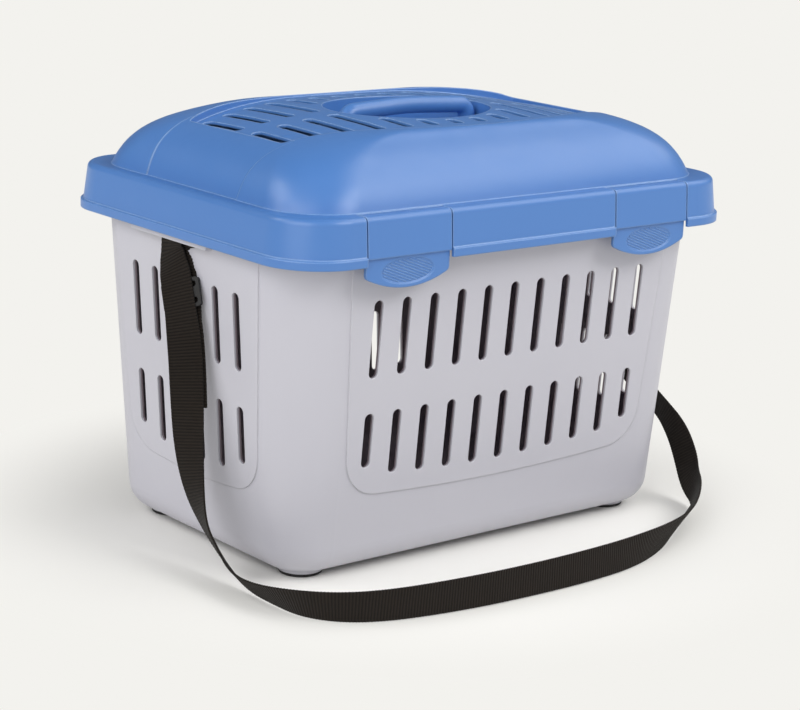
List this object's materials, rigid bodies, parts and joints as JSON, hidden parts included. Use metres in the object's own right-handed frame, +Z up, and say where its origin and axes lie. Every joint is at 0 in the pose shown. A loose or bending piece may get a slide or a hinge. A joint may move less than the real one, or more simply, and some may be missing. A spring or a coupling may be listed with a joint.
{
  "type": "pet carrier",
  "caption": "Slotted plastic carrier for a small animal, with a hinged vented lid, a grip in a well, front latches, rubber feet and a webbing shoulder strap",
  "frame": {"origin": "Under the middle of the carrier's box, on the surface that it stands on, the strap not counted", "axes": "+X to the carrier's right along its length, -Y to its front with the latches, +Z up"},
  "size_m": [0.4678, 0.3981, 0.3372],
  "materials": {
    "tub_plastic": "satin",
    "lid_plastic": "satin",
    "foot_rubber": "matt",
    "webbing": "ribbed weave",
    "slider_plastic": "satin",
    "steel": "plain"
  },
  "bodies": {
    "base": {"tub": "tub_plastic", "hinge_pin_left": "steel", "hinge_pin_right": "steel", "foot_pad_front_left": "foot_rubber", "foot_pad_front_right": "foot_rubber", "foot_pad_rear_left": "foot_rubber", "foot_pad_rear_right": "foot_rubber", "shoulder_strap": "webbing", "strap_loop_left": "webbing", "strap_loop_right": "webbing", "strap_tail_left": "webbing", "strap_tail_right": "webbing", "strap_slider_left": "slider_plastic", "strap_slider_right": "slider_plastic"},
    "top": {"lid": "lid_plastic", "carry_handle": "lid_plastic", "handle_screws": "steel"},
    "latch_left": {"front_latch_left": "lid_plastic"},
    "latch_right": {"front_latch_right": "lid_plastic"}
  },
  "joints": [
    {"name": "lid_hinge", "type": "hinge", "parent": "base", "child": "top", "pos_m": [0, 0.1596, 0.249], "axis": [-1, 0, 0], "range_deg": [0, 100]},
    {"name": "latch_left_hinge", "type": "hinge", "parent": "top", "child": "latch_left", "pos_m": [-0.121, -0.1534, 0.277], "axis": [-1, 0, 0], "range_deg": [0, 80]},
    {"name": "latch_right_hinge", "type": "hinge", "parent": "top", "child": "latch_right", "pos_m": [0.121, -0.1534, 0.277], "axis": [-1, 0, 0], "range_deg": [0, 80]}
  ]
}
